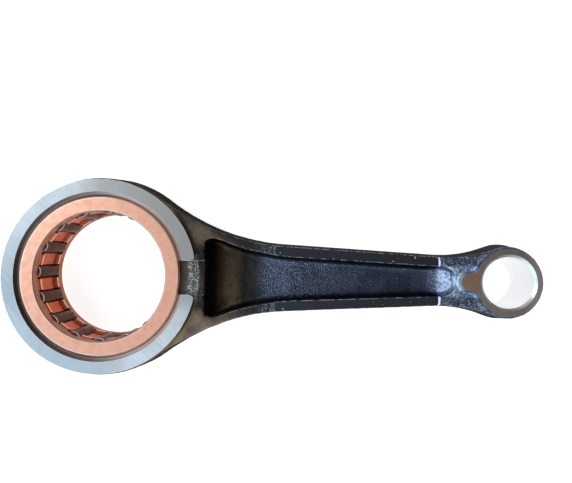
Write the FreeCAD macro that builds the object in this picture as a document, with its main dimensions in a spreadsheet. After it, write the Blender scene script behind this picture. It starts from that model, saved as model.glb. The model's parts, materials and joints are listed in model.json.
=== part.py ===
"""One-piece connecting rod with its caged roller bearing, as a parametric FreeCAD document.

The rod is a drop forging with a closed eye at each end. Its big end carries a one-piece cage with
sixteen loose rollers. The origin is the big-end bore centre at mid-thickness, +X runs to the small
end and +Z runs along both bores. All lengths are in millimetres and all angles in degrees.
"""
import FreeCAD
import Part
import math
import os
import re

import Sketcher
from FreeCAD import Placement, Rotation, Vector

ROLLER_COUNT = 16

# alias, value, what it is
SIZES = (
    ("centre_distance", 110.0, "between the two bore centres"),
    ("big_width", 18.0, "across the big end's thrust faces"),
    ("eye_radius", 21.5, "big-end bore, the rollers' outer track"),
    ("eye_chamfer", 1.1, "at both edges of the big-end bore"),
    ("thrust_wall", 4.5, "ground thrust face, from the big-end bore to its outside"),
    ("thrust_step", 1.6, "of the thrust faces above the forged shoulders"),
    ("big_ledge", 1.3, "forging outside the thrust face, at the parting line"),
    ("small_width", 15.4, "across the small end's faces"),
    ("small_bore_radius", 7.0, "gudgeon pin bore"),
    ("small_chamfer", 0.6, "at both edges of the small bore"),
    ("small_wall", 2.15, "small end's face, from its bore to its outside"),
    ("small_step", 1.1, "of the small end's faces above the forged shoulders"),
    ("small_ledge", 1.45, "forging outside the small end's face, at the parting line"),
    ("draft", 6.0, "forging draft, degrees"),
    ("big_neck_radius", 60.0, "blend of the shank into the big end, at the parting line"),
    ("small_neck_radius", 35.0, "blend of the shank into the small end, at the parting line"),
    ("shoulder_reach", 2.0, "level shoulder beyond the big end, towards the shank"),
    ("shoulder_run", 7.0, "length of the slope from that shoulder down to the rails"),
    ("shank_root", 50.5, "station of the shank's wide end, from the big bore"),
    ("shank_root_width", 19.0, "width of the shank there, at the parting line"),
    ("shank_tip", 16.9, "station of the shank's narrow end, from the small bore"),
    ("shank_tip_width", 14.56, "width of the shank there, at the parting line"),
    ("rail_height", 13.0, "across the forged rails"),
    ("land_depth", 0.35, "milled off each rail to leave its flat land"),
    ("land_start", 46.6, "start of the lands, from the big bore"),
    ("land_stop", 18.7, "end of the lands, from the small bore"),
    ("web_thickness", 4.0, "between the two channels"),
    ("channel_draft", 9.0, "slope of the channel's walls, degrees"),
    ("channel_wall", 0.3, "forging left between the big end's ring and the channel"),
    ("channel_corner", 3.2, "plan radius of the channel's wide corners"),
    ("channel_neck_radius", 66.0, "blend of the channel into the big end, at the web"),
    ("channel_join", 52.0, "where that blend meets the straight walls, from the big bore"),
    ("channel_root_width", 10.4, "width of the channel's floor at the shank's wide end"),
    ("channel_tip_width", 6.5, "width of the channel's floor at the shank's narrow end"),
    ("channel_floor_radius", 1.4, "blend of the channel's floor into its walls"),
    ("channel_tail", 17.9, "centre of the channel's round end, from the small bore"),
    ("big_ramp_radius", 7.0, "upward sweep of the channel's floor at the big end"),
    ("big_ramp_width", 22.0, "of that sweep, a little wider than the channel"),
    ("small_ramp_radius", 9.0, "upward sweep of the channel's floor at the small end"),
    ("small_ramp_start", 21.6, "where that sweep starts, from the small bore"),
    ("saddle_depth", 0.5, "of that sweep's crest below the rails"),
    ("small_ramp_width", 9.5, "of that sweep, a little wider than the channel"),
    ("tongue_reach", 13.0, "tip of the raised tongue, from the small bore"),
    ("tongue_width", 4.8, "across the tongue"),
    ("tongue_flare", 2.0, "blend of the tongue into the small end's face ring"),
    ("tongue_draft", 14.0, "slope of the tongue's and ring's walls, degrees"),
    ("moat_width", 0.95, "hollow round the tongue's tip"),
    ("moat_depth", 0.9, "of that hollow below the forged shoulder"),
    ("moat_slope", 42.0, "of that hollow's walls, degrees"),
    ("boss_root", 1.08, "of the tongue and its ring, below the hollow's floor"),
    ("slot_width", 9.0, "oil slot across each thrust face"),
    ("slot_depth", 2.2, "of the oil slot"),
    ("slot_corner", 1.3, "plan radius where the slot leaves the thrust face"),
    ("face_edge", 0.35, "rounding round the thrust faces and the small end's faces"),
    ("roller_radius", 2.25, "of each roller"),
    ("roller_round", 0.6, "rounding of the rollers' ends"),
    ("track_gap", 0.02, "between the rollers and the big-end bore"),
    ("pocket_gap", 0.09, "between a roller and its pocket, all round"),
    ("pocket_end_gap", 0.12, "between a roller's end and its pocket"),
    ("pocket_grip", 0.61, "of each pocket's mouth, narrower than its roller"),
    ("cage_gap", 0.1, "between the cage and the big-end bore"),
    ("cage_recess", 0.4, "of the cage's faces below the thrust faces"),
    ("cage_ring_width", 2.4, "of each end ring, along the bore"),
    ("pin_gap", 0.23, "between the cage's noses and the crank pin that the rollers run on"),
    ("nose_rise", 0.29, "of the noses, inwards from the end rings' bore"),
    ("nose_inset", 0.92, "from each pocket's end to the start of the noses"),
    ("nose_width", 0.8, "of the noses' flats, along the bore"),
    ("waist_rise", 0.85, "of the noses, inwards from the relieved middle of the bars"),
    ("cage_chamfer", 0.4, "at the cage's outer edges"),
    ("cage_lip", 0.25, "at the inner edges of the end rings"),
    ("cage_phase", 20.3, "angle of the first roller from +X, degrees"),
)

# sizes that follow from those: each is an expression in the sheet's aliases
THRUST_RADIUS = "( eye_radius + thrust_wall )"
BIG_RADIUS = "( eye_radius + thrust_wall + big_ledge )"
BIG_SHOULDER = "( big_width / 2 - thrust_step )"
FACE_RADIUS = "( small_bore_radius + small_wall )"
SMALL_RADIUS = "( small_bore_radius + small_wall + small_ledge )"
SMALL_SHOULDER = "( small_width / 2 - small_step )"
PITCH_RADIUS = "( eye_radius - track_gap - roller_radius )"
NOSE_RADIUS = "( eye_radius - track_gap - 2 * roller_radius + pin_gap )"
CAGE_FACE = "( big_width / 2 - cage_recess )"
POCKET_TOP = "( big_width / 2 - cage_recess - cage_ring_width )"
ROLLER_TOP = "( big_width / 2 - cage_recess - cage_ring_width - pocket_end_gap )"
TONGUE_NOSE = "( centre_distance - tongue_reach + tongue_width / 2 )"

doc = FreeCAD.newDocument("connecting_rod")
sheet = doc.addObject("Spreadsheet::Sheet", "sizes")
for row, (alias, value, meaning) in enumerate(SIZES, start=1):
    sheet.set(f"A{row}", meaning)
    sheet.set(f"B{row}", str(value))
    sheet.setAlias(f"B{row}", alias)
doc.recompute()


def size(expression):
    """Value of an expression in the sheet's aliases."""
    result = sheet.evalExpression(expression)
    return float(getattr(result, "Value", result))


def bind(feature, prop, expression):
    """Bind a property of a feature to an expression in the sheet's aliases."""
    feature.setExpression(prop, in_sheet(expression))


def in_sheet(expression):
    """The same expression as another object has to write it, with each alias named in full."""
    aliases = {alias for alias, _, _ in SIZES}
    return re.sub(r"[a-z_]+", lambda word: f"<<sizes>>.{word.group()}" if word.group() in aliases
                  else word.group(), expression)


def new_body(label):
    """A PartDesign body with its own label, which names its file."""
    body = doc.addObject("PartDesign::Body", label)
    body.Label = label
    return body


def origin_feature(body, role):
    """One of the body's own origin planes or axes."""
    return next(item for item in body.Origin.OriginFeatures if item.Role == role)


def sketch_on(body, name, role, lift="0", along="0"):
    """A sketch on one of the body's origin planes, moved off it by lift and along its X by along."""
    sketch = body.newObject("Sketcher::SketchObject", name)
    sketch.AttachmentSupport = (origin_feature(body, role), [""])
    sketch.MapMode = "FlatFace"
    if lift != "0":
        bind(sketch, "AttachmentOffset.Base.z", lift)
    if along != "0":
        bind(sketch, "AttachmentOffset.Base.x", along)
    return sketch


def limit(sketch, kind, *where, to):
    """Add a dimension to a sketch and bind it to an expression."""
    number = sketch.addConstraint(Sketcher.Constraint(kind, *where, size(to)))
    sketch.setExpression(f"Constraints[{number}]", in_sheet(to))


def hold(sketch, piece, end, across, up):
    """Hold one end or the centre of a sketch piece at a place given by two expressions."""
    for kind, expression, axis in (("DistanceX", across, -2), ("DistanceY", up, -1)):
        if expression == "0":
            sketch.addConstraint(Sketcher.Constraint("PointOnObject", piece, end, axis))
        else:
            limit(sketch, kind, piece, end, to=expression)


def polygon(sketch, corners):
    """A closed polygon whose corners are pairs of expressions."""
    places = [Vector(size(across), size(up), 0) for across, up in corners]
    first = sketch.GeometryCount
    count = len(places)
    for index, start in enumerate(places):
        sketch.addGeometry(Part.LineSegment(start, places[(index + 1) % count]))
    for index, (across, up) in enumerate(corners):
        previous = first + (index - 1) % count
        sketch.addConstraint(Sketcher.Constraint("Coincident", previous, 2, first + index, 1))
        hold(sketch, first + index, 1, across, up)


def circle(sketch, radius):
    """A circle about the sketch's origin."""
    number = sketch.addGeometry(Part.Circle(Vector(0, 0, 0), Vector(0, 0, 1), size(radius)))
    hold(sketch, number, 3, "0", "0")
    limit(sketch, "Radius", number, to=radius)


def arc(centre, radius, start, stop):
    """An arc from one angle to the next, in degrees, the way a clock's hands don't turn."""
    whole = Part.Circle(Vector(*centre, 0), Vector(0, 0, 1), radius)
    return Part.ArcOfCircle(whole, math.radians(start), math.radians(stop))


def angle_to(start, stop):
    """Direction in degrees from one point to another."""
    return math.degrees(math.atan2(stop[1] - start[1], stop[0] - start[0]))


def chain(sketch, joints):
    """Make each end of a sketch piece run smoothly into the next piece."""
    for piece, end, other, other_end in joints:
        sketch.addConstraint(Sketcher.Constraint("Tangent", piece, end, other, other_end))


def add(body, kind, name, profile=None, **settings):
    """Add a PartDesign feature, binding each setting that is an expression."""
    feature = body.newObject(f"PartDesign::{kind}", name)
    if profile is not None:
        feature.Profile = profile
    for prop, setting in settings.items():
        if isinstance(setting, str) and prop not in ("Type", "SideType", "TransformMode"):
            bind(feature, prop, setting)
        else:
            setattr(feature, prop, setting)
    doc.recompute()
    return feature


# ---------------------------------------------------------------- the forged rod

def outline_sketch(body):
    """Outline of the forging at its parting line: two eyes, two necks a side and a tapered shank."""
    sketch = sketch_on(body, "outline", "XY_Plane")
    reach = size("centre_distance")
    root = Vector(size("shank_root"), size("shank_root_width / 2"), 0)
    tip = Vector(reach - size("shank_tip"), size("shank_tip_width / 2"), 0)
    along = (tip - root).normalize()
    outward = Vector(-along.y, along.x, 0)

    def neck(eye, eye_radius, neck_radius, side):
        """Centre of a neck's arc, which touches the eye outside and the shank's edge."""
        offset = (eye - root).dot(outward) - neck_radius
        run = math.sqrt((eye_radius + neck_radius) ** 2 - offset ** 2)
        return eye + along * (side * run) - outward * offset

    big = neck(Vector(0, 0, 0), size(BIG_RADIUS), size("big_neck_radius"), 1)
    small = neck(Vector(reach, 0, 0), size(SMALL_RADIUS), size("small_neck_radius"), -1)
    big_foot = big - outward * size("big_neck_radius")
    small_foot = small - outward * size("small_neck_radius")
    foot_way = angle_to((0, 0), -outward) % 360
    to_big = angle_to(big, (0, 0)) % 360
    to_small = angle_to(small, (reach, 0)) % 360
    eye_way, tip_way = to_big - 180, to_small - 180

    sketch.addGeometry(arc((0, 0), size(BIG_RADIUS), eye_way, 360 - eye_way))
    sketch.addGeometry(arc((reach, 0), size(SMALL_RADIUS), -tip_way, tip_way))
    sketch.addGeometry(arc((big.x, big.y), size("big_neck_radius"), to_big, foot_way))
    sketch.addGeometry(Part.LineSegment(small_foot, big_foot))
    sketch.addGeometry(arc((small.x, small.y), size("small_neck_radius"), foot_way, to_small))
    sketch.addGeometry(arc((big.x, -big.y), size("big_neck_radius"), 360 - foot_way, 360 - to_big))
    lower = [Vector(place.x, -place.y, 0) for place in (small_foot, big_foot)]
    sketch.addGeometry(Part.LineSegment(*lower))
    sketch.addGeometry(arc((small.x, -small.y), size("small_neck_radius"), 360 - to_small,
                           360 - foot_way))
    big_eye, small_eye, neck_1, edge_1, neck_2, neck_3, edge_2, neck_4 = range(8)
    hold(sketch, big_eye, 3, "0", "0")
    hold(sketch, small_eye, 3, "centre_distance", "0")
    limit(sketch, "Radius", big_eye, to=BIG_RADIUS)
    limit(sketch, "Radius", small_eye, to=SMALL_RADIUS)
    for piece in (neck_1, neck_3):
        limit(sketch, "Radius", piece, to="big_neck_radius")
    for piece in (neck_2, neck_4):
        limit(sketch, "Radius", piece, to="small_neck_radius")
    chain(sketch, ((big_eye, 1, neck_1, 1), (neck_1, 2, edge_1, 2), (edge_1, 1, neck_2, 1),
                   (neck_2, 2, small_eye, 2), (big_eye, 2, neck_3, 2), (neck_3, 1, edge_2, 2),
                   (edge_2, 1, neck_4, 2), (neck_4, 1, small_eye, 1)))
    stations(sketch, ((edge_1, 1), (edge_2, -1)), "shank_root_width", "shank_tip_width")
    return sketch


def stations(sketch, edges, root_width, tip_width):
    """Hold straight edges to given widths at the shank's two stations."""
    for edge, side in edges:
        for across, width in (("shank_root", root_width), ("centre_distance - shank_tip", tip_width)):
            up = f"{side} * {width} / 2"
            mark = sketch.addGeometry(Part.Point(Vector(size(across), size(up), 0)), True)
            hold(sketch, mark, 1, across, up)
            sketch.addConstraint(Sketcher.Constraint("PointOnObject", mark, 1, edge))


def channel_sketch(body):
    """Floor of the channel: round against the big end, flared walls, and a round narrow end."""
    sketch = sketch_on(body, "channel_floor", "XY_Plane", "web_thickness / 2")
    reach = size("centre_distance")
    inner = size(f"{BIG_RADIUS} + channel_wall")
    root = Vector(size("shank_root"), size("channel_root_width / 2"), 0)
    tip = Vector(reach - size("shank_tip"), size("channel_tip_width / 2"), 0)
    along = (tip - root).normalize()
    outward = Vector(-along.y, along.x, 0)
    join = root + along * ((size("channel_join") - root.x) / along.x)
    flare_radius = size("channel_neck_radius")
    flare = join + outward * flare_radius
    corner_radius = size("channel_corner")
    # the corner touches the flare from inside the channel and the big end's arc from outside
    span = math.hypot(flare.x, flare.y)
    near, far = inner + corner_radius, flare_radius + corner_radius
    share = (near ** 2 - far ** 2 + span ** 2) / (2 * span)
    rise = math.sqrt(near ** 2 - share ** 2)
    towards = Vector(flare.x / span, flare.y / span, 0)
    corner = towards * share + Vector(towards.y, -towards.x, 0) * rise
    eye_way = angle_to((0, 0), corner)
    corner_up = angle_to(corner, flare) % 360
    end = Vector(reach - size("channel_tail"), 0, 0)
    end_radius = -(end - root).dot(outward)
    end_way = angle_to((0, 0), outward)
    flare_eye = angle_to(flare, corner) % 360
    flare_foot = angle_to((0, 0), -outward) % 360

    sketch.addGeometry(arc((0, 0), inner, -eye_way, eye_way))
    sketch.addGeometry(arc((end.x, 0), end_radius, -end_way, end_way))
    foot = end + outward * end_radius
    for side in (1, -1):
        # on the lower side each arc is the upper one's mirror image, so it runs from minus its end
        bends = ((corner, corner_radius, corner_up, 180 + eye_way),
                 (flare, flare_radius, flare_eye, flare_foot))
        for centre, radius, *way in bends:
            start, stop = sorted(side * angle for angle in way)
            sketch.addGeometry(arc((centre.x, side * centre.y), radius, start, stop))
        sketch.addGeometry(Part.LineSegment(Vector(join.x, side * join.y, 0),
                                            Vector(foot.x, side * foot.y, 0)))
    eye, tail, corner_1, flare_1, wall_1, corner_2, flare_2, wall_2 = range(8)
    hold(sketch, eye, 3, "0", "0")
    limit(sketch, "Radius", eye, to=f"{BIG_RADIUS} + channel_wall")
    limit(sketch, "DistanceX", tail, 3, to="centre_distance - channel_tail")
    for piece in (corner_1, corner_2):
        limit(sketch, "Radius", piece, to="channel_corner")
    for piece in (flare_1, flare_2):
        limit(sketch, "Radius", piece, to="channel_neck_radius")
    chain(sketch, ((eye, 2, corner_1, 2), (corner_1, 1, flare_1, 1), (flare_1, 2, wall_1, 1),
                   (wall_1, 2, tail, 2), (eye, 1, corner_2, 1), (corner_2, 2, flare_2, 2),
                   (flare_2, 1, wall_2, 1), (wall_2, 2, tail, 1)))
    for wall in (wall_1, wall_2):
        limit(sketch, "DistanceX", wall, 1, to="channel_join")
    stations(sketch, ((wall_1, 1),), "channel_root_width", "channel_tip_width")
    stations(sketch, ((wall_2, -1),), "channel_root_width", "channel_tip_width")
    return sketch


def side_profile_sketch(body):
    """What is cut off the top of the forging, seen from the side, down to the shoulders and lands."""
    sketch = sketch_on(body, "side_profile", "XZ_Plane")
    rail, land = "rail_height / 2", "rail_height / 2 - land_depth"
    shoulder_end = f"{BIG_RADIUS} + shoulder_reach"
    slope_foot = f"{shoulder_end} + shoulder_run"
    lands_end = "centre_distance - land_stop"
    behind, beyond = f"0 - 2 * {BIG_RADIUS}", "2 * centre_distance"
    top = "big_width + small_width"
    polygon(sketch, (
        (behind, BIG_SHOULDER), (shoulder_end, BIG_SHOULDER), (slope_foot, rail),
        ("land_start", rail), ("land_start", land), (lands_end, land), (lands_end, rail),
        (f"centre_distance - {FACE_RADIUS}", SMALL_SHOULDER), (beyond, SMALL_SHOULDER),
        (beyond, top), (behind, top)))
    return sketch


def ramp_sketch(body, name, foot, radius, top, back, way):
    """Side view of the metal that sweeps a channel's floor up to the level top, one way or the other."""
    sketch = sketch_on(body, name, "XZ_Plane")
    floor = size("web_thickness / 2")
    start = Vector(size(foot), floor, 0)
    centre = start + Vector(0, size(radius), 0)
    climb = math.degrees(math.acos(1 - (size(top) - floor) / size(radius)))
    angles = (-90, -90 + climb) if way > 0 else (-90 - climb, -90)
    sketch.addGeometry(arc((centre.x, centre.y), size(radius), *angles))
    foot_end, crest_end = (1, 2) if way > 0 else (2, 1)
    crest = sketch.getPoint(0, crest_end)
    behind = (Vector(size(back), crest.y, 0), Vector(size(back), floor, 0))
    for first, last in ((crest, behind[0]), behind, (behind[1], start)):
        sketch.addGeometry(Part.LineSegment(first, last))
    sweep, level, rear, base = range(4)
    for piece, end, other, other_end in ((sweep, crest_end, level, 1), (level, 2, rear, 1),
                                         (rear, 2, base, 1), (base, 2, sweep, foot_end)):
        sketch.addConstraint(Sketcher.Constraint("Coincident", piece, end, other, other_end))
    hold(sketch, sweep, foot_end, foot, "web_thickness / 2")
    sketch.addConstraint(Sketcher.Constraint("Vertical", sweep, 3, sweep, foot_end))
    limit(sketch, "Radius", sweep, to=radius)
    limit(sketch, "DistanceY", level, 1, to=top)
    hold(sketch, rear, 1, back, top)
    hold(sketch, rear, 2, back, "web_thickness / 2")
    return sketch


def tongue_sketch(body):
    """The small end's face ring with the tongue that runs from it towards the shank."""
    sketch = sketch_on(body, "small_face", "XY_Plane", "small_width / 2")
    reach, ring = size("centre_distance"), size(FACE_RADIUS)
    half, flare, tip = size("tongue_width / 2"), size("tongue_flare"), size(TONGUE_NOSE)
    flare_up = half + flare
    flare_x = reach - math.sqrt((ring + flare) ** 2 - flare_up ** 2)
    ring_way = angle_to((reach, 0), (flare_x, flare_up))
    sketch.addGeometry(arc((reach, 0), ring, -ring_way, ring_way))
    sketch.addGeometry(arc((tip, 0), half, 90, 270))
    sketch.addGeometry(arc((flare_x, flare_up), flare, 270, ring_way + 180))
    sketch.addGeometry(arc((flare_x, -flare_up), flare, -ring_way - 180, 90))
    for side in (1, -1):
        sketch.addGeometry(Part.LineSegment(Vector(tip, side * half, 0), Vector(flare_x, side * half, 0)))
    face, nose, blend_1, blend_2, edge_1, edge_2 = range(6)
    hold(sketch, face, 3, "centre_distance", "0")
    limit(sketch, "Radius", face, to=FACE_RADIUS)
    hold(sketch, nose, 3, TONGUE_NOSE, "0")
    limit(sketch, "Radius", nose, to="tongue_width / 2")
    for blend in (blend_1, blend_2):
        limit(sketch, "Radius", blend, to="tongue_flare")
    for edge in (edge_1, edge_2):
        sketch.addConstraint(Sketcher.Constraint("Horizontal", edge))
    chain(sketch, ((face, 2, blend_1, 2), (blend_1, 1, edge_1, 2), (edge_1, 1, nose, 1),
                   (face, 1, blend_2, 1), (blend_2, 2, edge_2, 2), (edge_2, 1, nose, 2)))
    return sketch


def moat_sketch(body):
    """The shallow hollow round the tongue, wide enough to leave room on each side of it."""
    sketch = sketch_on(body, "moat_plan", "XY_Plane", f"{SMALL_SHOULDER} - moat_depth")
    half, tip = "tongue_width / 2 + moat_width", TONGUE_NOSE
    end = f"centre_distance - {FACE_RADIUS} + moat_width"
    high, low = (Vector(size(end), side * size(half), 0) for side in (1, -1))
    sketch.addGeometry(arc((size(tip), 0), size(half), 90, 270))
    for first, last in ((low, high), (Vector(size(tip), high.y, 0), high),
                        (Vector(size(tip), low.y, 0), low)):
        sketch.addGeometry(Part.LineSegment(first, last))
    nose, back, upper, lower = range(4)
    hold(sketch, nose, 3, tip, "0")
    limit(sketch, "Radius", nose, to=half)
    chain(sketch, ((nose, 1, upper, 1), (nose, 2, lower, 1)))
    for piece, end_of, other, other_end in ((upper, 2, back, 2), (lower, 2, back, 1)):
        sketch.addConstraint(Sketcher.Constraint("Coincident", piece, end_of, other, other_end))
    sketch.addConstraint(Sketcher.Constraint("Vertical", back))
    sketch.addConstraint(Sketcher.Constraint("Horizontal", upper))
    sketch.addConstraint(Sketcher.Constraint("Horizontal", lower))
    limit(sketch, "DistanceX", back, 1, to=end)
    return sketch


def bore_sketch(body, name, centre, radius, chamfer, width):
    """Half section of a chamfered bore in the upper half of an eye, to be turned about its axis."""
    sketch = sketch_on(body, name, "XZ_Plane", along=centre)
    face, rim = f"{width} / 2", f"{radius} + {chamfer}"
    polygon(sketch, (("0", "0"), (radius, "0"), (radius, f"{face} - {chamfer}"), (rim, face),
                     (rim, f"{face} + {chamfer}"), ("0", f"{face} + {chamfer}")))
    return sketch


def edges_where(shape, test):
    """Names of the edges whose middle point passes a test."""
    names = []
    for number, edge in enumerate(shape.Edges, start=1):
        middle = edge.valueAt((edge.FirstParameter + edge.LastParameter) / 2)
        if test(edge, middle):
            names.append(f"Edge{number}")
    return names


def round_edges(body, name, radius, test):
    """Fillet the edges of the body's latest feature that pass a test."""
    base = body.Tip
    names = edges_where(base.Shape, test)
    if not names:
        raise RuntimeError(f"{name} found no edges to round")
    return add(body, "Fillet", name, Base=(base, names), Radius=radius)


def turn_out(body, name, section):
    """Cut a solid of revolution about the section's own Y axis."""
    return add(body, "Groove", name, section, Angle=360.0, ReferenceAxis=(section, ["V_Axis"]))


def make_rod():
    """The forging, modelled as its upper half and mirrored at the parting line."""
    body = new_body("connecting_rod")
    add(body, "Pad", "forging", outline_sketch(body), Length="( big_width + small_width ) / 2",
        TaperAngle="0 - draft")
    add(body, "Pocket", "side_cut", side_profile_sketch(body), SideType="Symmetric",
        Type="ThroughAll")
    add(body, "Pocket", "channel", channel_sketch(body), Length="big_width / 2", Reversed=True,
        TaperAngle="channel_draft")
    floor = size("web_thickness / 2")
    round_edges(body, "channel_blend", "channel_floor_radius",
                lambda edge, middle: abs(middle.z - floor) < 0.001)
    add(body, "Pad", "big_ramp",
        ramp_sketch(body, "big_sweep", f"{BIG_RADIUS} + channel_wall + big_ramp_radius",
                    "big_ramp_radius", BIG_SHOULDER, "eye_radius", -1),
        SideType="Symmetric", Length="big_ramp_width")
    add(body, "Pad", "small_ramp",
        ramp_sketch(body, "small_sweep", "centre_distance - small_ramp_start", "small_ramp_radius",
                    "rail_height / 2 - saddle_depth", f"centre_distance - {FACE_RADIUS}", 1),
        SideType="Symmetric", Length="small_ramp_width")
    add(body, "Pocket", "moat", moat_sketch(body), Length="small_width / 2", Reversed=True,
        TaperAngle="moat_slope")
    disc = sketch_on(body, "big_face", "XY_Plane")
    circle(disc, THRUST_RADIUS)
    add(body, "Pad", "thrust_ring", disc, Length="big_width / 2")
    add(body, "Pad", "small_boss", tongue_sketch(body), Length="small_step + moat_depth + boss_root",
        Reversed=True, TaperAngle="tongue_draft")
    turn_out(body, "big_bore", bore_sketch(body, "big_bore_section", "0", "eye_radius",
                                           "eye_chamfer", "big_width"))
    turn_out(body, "small_bore", bore_sketch(body, "small_bore_section", "centre_distance",
                                             "small_bore_radius", "small_chamfer", "small_width"))
    slot = sketch_on(body, "slot_plan", "XY_Plane", "big_width / 2 - slot_depth")
    outer = f"{BIG_RADIUS} + channel_wall"
    polygon(slot, (("0", "0 - slot_width / 2"), (outer, "0 - slot_width / 2"),
                   (outer, "slot_width / 2"), ("0", "slot_width / 2")))
    add(body, "Pocket", "oil_slot", slot, Length="big_width / 2", Reversed=True)
    half_slot, face = size("slot_width / 2"), size(THRUST_RADIUS)
    corner = math.sqrt(face ** 2 - half_slot ** 2)
    round_edges(body, "slot_corners", "slot_corner",
                lambda edge, middle: abs(middle.x - corner) < 0.01
                and abs(abs(middle.y) - half_slot) < 0.01
                and middle.z > size(BIG_SHOULDER))
    thrust, gudgeon = size("big_width / 2"), size("small_width / 2")
    round_edges(body, "thrust_edge", "face_edge",
                lambda edge, middle: abs(middle.z - thrust) < 0.001
                and abs(math.hypot(middle.x, middle.y) - face) < 0.001)
    bore_rim = size("small_bore_radius + small_chamfer")
    round_edges(body, "gudgeon_edge", "face_edge",
                lambda edge, middle: abs(middle.z - gudgeon) < 0.001
                and math.hypot(middle.x - size("centre_distance"), middle.y) > bore_rim + 0.01)
    whole = add(body, "Mirrored", "both_halves", TransformMode="Whole shape",
                MirrorPlane=(origin_feature(body, "XY_Plane"), [""]))
    body.Tip = whole
    return body


# ---------------------------------------------------------------- the caged roller bearing

def make_cage():
    """One-piece cage: a turned section with a pocket for each roller."""
    body = new_body("roller_cage")
    section = sketch_on(body, "cage_section", "XZ_Plane")
    outer, ring = "eye_radius - cage_gap", f"{NOSE_RADIUS} + nose_rise"
    nose_top = f"{POCKET_TOP} - nose_inset"
    upper = [
        (outer, f"{CAGE_FACE} - cage_chamfer"), (f"{outer} - cage_chamfer", CAGE_FACE),
        (f"{ring} + cage_lip", CAGE_FACE), (ring, f"{CAGE_FACE} - cage_lip"),
        (ring, f"{nose_top} + nose_rise"), (NOSE_RADIUS, nose_top),
        (NOSE_RADIUS, f"{nose_top} - nose_width"),
        (f"{NOSE_RADIUS} + waist_rise", f"{nose_top} - nose_width - waist_rise")]
    lower = [(across, f"0 - ( {up} )") for across, up in reversed(upper)]
    polygon(section, upper + lower)
    add(body, "Revolution", "ring", section, Angle=360.0, ReferenceAxis=(section, ["V_Axis"]))
    add(body, "Pocket", "pocket", pocket_sketch(body), SideType="Symmetric",
        Length=f"2 * {POCKET_TOP}")
    pockets = body.newObject("PartDesign::PolarPattern", "pockets")
    pockets.Originals = [doc.getObject("pocket")]
    pockets.Axis = (origin_feature(body, "Z_Axis"), [""])
    pockets.Angle = 360.0
    pockets.Occurrences = ROLLER_COUNT
    body.Tip = pockets
    bind(body, "Placement.Rotation.Angle", "cage_phase")
    return body


def pocket_sketch(body):
    """Plan of one pocket: round about its roller, with a straight mouth inside and outside."""
    sketch = sketch_on(body, "pocket_plan", "XY_Plane")
    radius, mouth = "roller_radius + pocket_gap", "( roller_radius - pocket_grip / 2 )"
    inner, outer = f"{PITCH_RADIUS} - 2 * roller_radius", f"{PITCH_RADIUS} + 2 * roller_radius"
    centre, up = size(PITCH_RADIUS), size(mouth)
    lip = math.degrees(math.asin(up / size(radius)))
    reach = math.sqrt(size(radius) ** 2 - up ** 2)
    left, near, far, right = size(inner), centre - reach, centre + reach, size(outer)
    runs = [((left, -up), (near, -up)), (180 + lip, 360 - lip), ((far, -up), (right, -up)),
            ((right, -up), (right, up)), ((right, up), (far, up)), (lip, 180 - lip),
            ((near, up), (left, up)), ((left, up), (left, -up))]
    for start, stop in runs:
        if isinstance(start, tuple):
            sketch.addGeometry(Part.LineSegment(Vector(*start, 0), Vector(*stop, 0)))
        else:
            sketch.addGeometry(arc((centre, 0), size(radius), start, stop))
    for piece in range(len(runs)):
        after = (piece + 1) % len(runs)
        sketch.addConstraint(Sketcher.Constraint("Coincident", piece, 2, after, 1))
    low_in, low_arc, low_out, outside, high_out, high_arc, high_in, inside = range(8)
    for piece in (low_arc, high_arc):
        hold(sketch, piece, 3, PITCH_RADIUS, "0")
        limit(sketch, "Radius", piece, to=radius)
    for piece, end, across, side in ((low_in, 1, inner, "0 - "), (outside, 1, outer, "0 - "),
                                     (outside, 2, outer, ""), (inside, 1, inner, "")):
        hold(sketch, piece, end, across, side + mouth)
    for piece in (low_in, low_out, high_out, high_in):
        sketch.addConstraint(Sketcher.Constraint("Horizontal", piece))
    return sketch


def make_roller(number):
    """One roller with rounded ends, standing at its own place round the cage."""
    body = new_body(f"roller_{number:02d}")
    section = sketch_on(body, f"roller_section_{number:02d}", "XZ_Plane")
    polygon(section, (("0", f"0 - {ROLLER_TOP}"), ("roller_radius", f"0 - {ROLLER_TOP}"),
                      ("roller_radius", ROLLER_TOP), ("0", ROLLER_TOP)))
    add(body, "Revolution", f"roller_turned_{number:02d}", section, Angle=360.0,
        ReferenceAxis=(section, ["V_Axis"]))
    round_edges(body, f"roller_ends_{number:02d}", "roller_round",
                lambda edge, middle: edge.Curve.TypeId == "Part::GeomCircle")
    angle = f"( cage_phase + {number - 1} * 360 / {ROLLER_COUNT} )"
    bind(body, "Placement.Base.x", f"{PITCH_RADIUS} * cos({angle})")
    bind(body, "Placement.Base.y", f"{PITCH_RADIUS} * sin({angle})")
    return body


# ---------------------------------------------------------------- build, check and write

def check(pieces):
    """Stop if any feature failed or any piece isn't one sound solid."""
    for item in doc.Objects:
        if "Invalid" in item.State or "Error" in item.State:
            raise RuntimeError(f"{item.Name} failed: {item.getStatusString()}")
    for piece in pieces:
        shape = piece.Shape
        if shape.isNull() or not shape.isValid() or len(shape.Solids) != 1:
            raise RuntimeError(f"{piece.Label} isn't one valid solid")


def write(pieces):
    """Write each piece to its own STEP file, named after its label."""
    os.makedirs("parts", exist_ok=True)
    for piece in pieces:
        piece.Shape.exportStep(f"parts/{piece.Label}.step")
        print(f"{piece.Label}: {piece.Shape.Volume:.1f} cubic mm")


rod_pieces = [make_rod(), make_cage()]
rod_pieces += [make_roller(number) for number in range(1, ROLLER_COUNT + 1)]
doc.recompute()
check(rod_pieces)
write(rod_pieces)
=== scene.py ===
"""Looks of a forged connecting rod with a plated roller cage, laid out as a Blender add-on.

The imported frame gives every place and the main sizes. The rod is rebuilt as a rough forging blank,
and the machining is then cut into it, so its ground, milled and bored faces meet the forged skin
along broken edges. The cage is turned and pierced, and each roller is turned.
"""

import json
import math

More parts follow.
